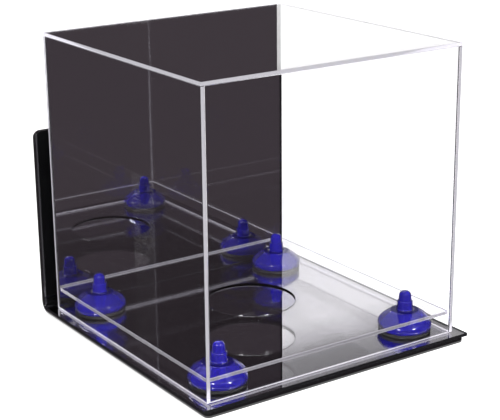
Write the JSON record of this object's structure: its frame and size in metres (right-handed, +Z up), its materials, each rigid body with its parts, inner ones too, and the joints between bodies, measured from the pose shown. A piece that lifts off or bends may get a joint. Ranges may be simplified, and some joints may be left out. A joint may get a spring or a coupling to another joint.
{
  "type": "football display case",
  "caption": "Clear acrylic case for a football: lift-off cover with mirrored back, mirror base, risers that carry a clear platform with a seat hole, and an L-shaped wall bracket.",
  "frame": {"origin": "centre of the bounding box's bottom face: the underside of the bracket's leg, midway between the front edge of the mirror base and the back face of the bracket", "axes": "+Z up, the case's front faces -Y, its mirrored back and the wall are towards +Y, +X is to the viewer's right"},
  "size_m": [0.273, 0.2834, 0.2628],
  "materials": {
    "clear_acrylic": "gloss",
    "acrylic_mirror": "polished",
    "black_acrylic": "gloss",
    "blue_plastic": "gloss",
    "black_rubber": "matte",
    "zinc_screw": "satin"
  },
  "bodies": {
    "base": {"wall_bracket": "black_acrylic", "mirror_base": "acrylic_mirror", "riser_front_left": "blue_plastic", "riser_front_right": "blue_plastic", "riser_back_left": "blue_plastic", "riser_back_right": "blue_plastic", "riser_pad_front_left": "black_rubber", "riser_pad_front_right": "black_rubber", "riser_pad_back_left": "black_rubber", "riser_pad_back_right": "black_rubber", "riser_screws": "zinc_screw"},
    "platform": {"platform": "clear_acrylic"},
    "cover": {"front_panel": "clear_acrylic", "left_panel": "clear_acrylic", "right_panel": "clear_acrylic", "top_panel": "clear_acrylic", "mirror_back_panel": "acrylic_mirror"}
  },
  "joints": [
    {"name": "cover_lift", "type": "slide", "parent": "base", "child": "cover", "axis": [0, 0, 1], "range_m": [0, 0.28]},
    {"name": "platform_lift", "type": "slide", "parent": "base", "child": "platform", "axis": [0, 0, 1], "range_m": [0, 0.06]}
  ]
}
